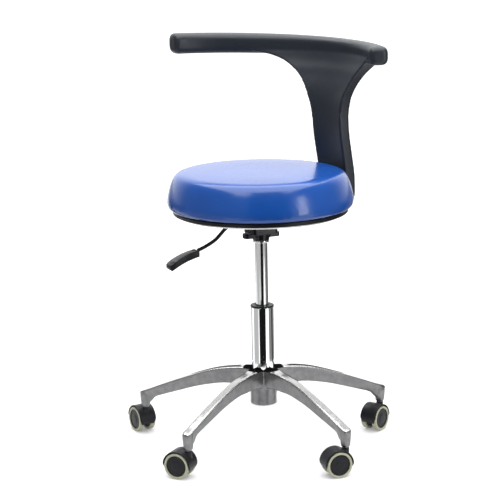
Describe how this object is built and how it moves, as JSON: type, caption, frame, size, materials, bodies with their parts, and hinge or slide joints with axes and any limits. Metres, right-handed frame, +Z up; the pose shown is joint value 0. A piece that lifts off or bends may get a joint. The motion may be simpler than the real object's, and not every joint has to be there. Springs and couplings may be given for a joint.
{
  "type": "dentist stool",
  "caption": "Round padded stool on a gas lift, with a curved back and arm rest, a height lever under the seat and a star-shaped aluminium base on hooded casters.",
  "frame": {"origin": "on the floor, at the middle of the stool's footprint", "axes": "+Z up, -Y towards the viewer's side, where the height lever's paddle is to the left; the rest stands behind and to the right"},
  "size_m": [0.5891, 0.5857, 0.8722],
  "materials": {
    "polished_aluminium": "polished on top, satin on the sides",
    "chrome": "mirror",
    "steel": "zinc plated",
    "black_steel": "satin black powder coat",
    "black_nylon": "moulded, satin",
    "soft_black": "integral-skin polyurethane, satin",
    "grey_tread": "soft polyurethane, satin",
    "blue_leather": "smooth artificial leather, semi-gloss",
    "plywood": "bare"
  },
  "bodies": {
    "base": {"star_base": "polished_aluminium", "column_tube": "chrome", "guide_bush": "black_nylon", "thrust_bearing": "steel", "caster_1_stem": "steel", "caster_2_stem": "steel", "caster_3_stem": "steel", "caster_4_stem": "steel", "caster_5_stem": "steel"},
    "spindle": {"piston_rod": "steel", "retaining_clip": "steel"},
    "seat": {"pressure_tube": "chrome", "rod_seal": "black_nylon", "tube_collar": "chrome", "mechanism_housing": "black_steel", "lever_pivot_pin": "steel", "seat_pan": "black_nylon", "seat_board": "plywood", "seat_cushion": "blue_leather", "backrest_strap": "black_steel", "backrest_shell": "soft_black", "plate_bolt_1": "steel", "plate_bolt_2": "steel", "plate_bolt_3": "steel", "plate_bolt_4": "steel", "strap_bolt_1": "steel", "strap_bolt_2": "steel"},
    "release_pin": {"release_pin": "steel"},
    "lever": {"lever_rod": "black_steel", "lever_paddle": "black_nylon"},
    "caster_1": {"caster_1_hood": "black_nylon", "caster_1_axle": "steel"},
    "caster_1_roller_left": {"caster_1_wheel_left": "black_nylon", "caster_1_tread_left": "grey_tread"},
    "caster_1_roller_right": {"caster_1_wheel_right": "black_nylon", "caster_1_tread_right": "grey_tread"},
    "caster_2": {"caster_2_hood": "black_nylon", "caster_2_axle": "steel"},
    "caster_2_roller_left": {"caster_2_wheel_left": "black_nylon", "caster_2_tread_left": "grey_tread"},
    "caster_2_roller_right": {"caster_2_wheel_right": "black_nylon", "caster_2_tread_right": "grey_tread"},
    "caster_3": {"caster_3_hood": "black_nylon", "caster_3_axle": "steel"},
    "caster_3_roller_left": {"caster_3_wheel_left": "black_nylon", "caster_3_tread_left": "grey_tread"},
    "caster_3_roller_right": {"caster_3_wheel_right": "black_nylon", "caster_3_tread_right": "grey_tread"},
    "caster_4": {"caster_4_hood": "black_nylon", "caster_4_axle": "steel"},
    "caster_4_roller_left": {"caster_4_wheel_left": "black_nylon", "caster_4_tread_left": "grey_tread"},
    "caster_4_roller_right": {"caster_4_wheel_right": "black_nylon", "caster_4_tread_right": "grey_tread"},
    "caster_5": {"caster_5_hood": "black_nylon", "caster_5_axle": "steel"},
    "caster_5_roller_left": {"caster_5_wheel_left": "black_nylon", "caster_5_tread_left": "grey_tread"},
    "caster_5_roller_right": {"caster_5_wheel_right": "black_nylon", "caster_5_tread_right": "grey_tread"}
  },
  "joints": [
    {"name": "seat_swivel", "type": "hinge", "parent": "base", "child": "spindle", "pos_m": [0.0118, -0.0366, 0.0965], "axis": [0, 0, 1], "continuous": true},
    {"name": "height_lift", "type": "slide", "parent": "spindle", "child": "seat", "axis": [0, 0, 1], "range_m": [-0.11, 0.01]},
    {"name": "lever_tilt", "type": "hinge", "parent": "seat", "child": "lever", "pos_m": [-0.00477, -0.04363, 0.4906], "axis": [-0.3907, 0.9205, 0], "range_deg": [0, 6], "stiffness_Nm_per_rad": 12, "springref_deg": -5.73},
    {"name": "release_pin_press", "type": "slide", "parent": "seat", "child": "release_pin", "axis": [0, 0, -1], "range_m": [0, 0.002]},
    {"name": "caster_1_swivel", "type": "hinge", "parent": "base", "child": "caster_1", "pos_m": [0.2715, 0.05232, 0.06], "axis": [0, 0, 1], "continuous": true},
    {"name": "caster_1_spin_left", "type": "hinge", "parent": "caster_1", "child": "caster_1_roller_left", "pos_m": [0.25946, 0.03634, 0.0275], "axis": [0.7986, -0.6018, 0], "continuous": true},
    {"name": "caster_1_spin_right", "type": "hinge", "parent": "caster_1", "child": "caster_1_roller_right", "pos_m": [0.25946, 0.03634, 0.0275], "axis": [0.7986, -0.6018, 0], "continuous": true},
    {"name": "caster_2_swivel", "type": "hinge", "parent": "base", "child": "caster_2", "pos_m": [0.00749, 0.23787, 0.06], "axis": [0, 0, 1], "continuous": true},
    {"name": "caster_2_spin_left", "type": "hinge", "parent": "caster_2", "child": "caster_2_roller_left", "pos_m": [0.01688, 0.25553, 0.0275], "axis": [-0.8829, 0.4695, 0], "continuous": true},
    {"name": "caster_2_spin_right", "type": "hinge", "parent": "caster_2", "child": "caster_2_roller_right", "pos_m": [0.01688, 0.25553, 0.0275], "axis": [-0.8829, 0.4695, 0], "continuous": true},
    {"name": "caster_3_swivel", "type": "hinge", "parent": "base", "child": "caster_3", "pos_m": [-0.25057, 0.04411, 0.06], "axis": [0, 0, 1], "continuous": true},
    {"name": "caster_3_spin_left", "type": "hinge", "parent": "caster_3", "child": "caster_3_roller_left", "pos_m": [-0.26087, 0.06126, 0.0275], "axis": [-0.8572, -0.515, 0], "continuous": true},
    {"name": "caster_3_spin_right", "type": "hinge", "parent": "caster_3", "child": "caster_3_roller_right", "pos_m": [-0.26087, 0.06126, 0.0275], "axis": [-0.8572, -0.515, 0], "continuous": true},
    {"name": "caster_4_swivel", "type": "hinge", "parent": "base", "child": "caster_4", "pos_m": [-0.14604, -0.26118, 0.06], "axis": [0, 0, 1], "continuous": true},
    {"name": "caster_4_spin_left", "type": "hinge", "parent": "caster_4", "child": "caster_4_roller_left", "pos_m": [-0.16409, -0.25257, 0.0275], "axis": [-0.4305, -0.9026, 0], "continuous": true},
    {"name": "caster_4_spin_right", "type": "hinge", "parent": "caster_4", "child": "caster_4_roller_right", "pos_m": [-0.16409, -0.25257, 0.0275], "axis": [-0.4305, -0.9026, 0], "continuous": true},
    {"name": "caster_5_swivel", "type": "hinge", "parent": "base", "child": "caster_5", "pos_m": [0.17662, -0.25611, 0.06], "axis": [0, 0, 1], "continuous": true},
    {"name": "caster_5_spin_left", "type": "hinge", "parent": "caster_5", "child": "caster_5_roller_left", "pos_m": [0.15782, -0.26295, 0.0275], "axis": [0.342, -0.9397, 0], "continuous": true},
    {"name": "caster_5_spin_right", "type": "hinge", "parent": "caster_5", "child": "caster_5_roller_right", "pos_m": [0.15782, -0.26295, 0.0275], "axis": [0.342, -0.9397, 0], "continuous": true}
  ],
  "couplings": [
    {"joint": "release_pin_press", "follows": "lever_tilt", "m_per_rad": 0.018}
  ]
}
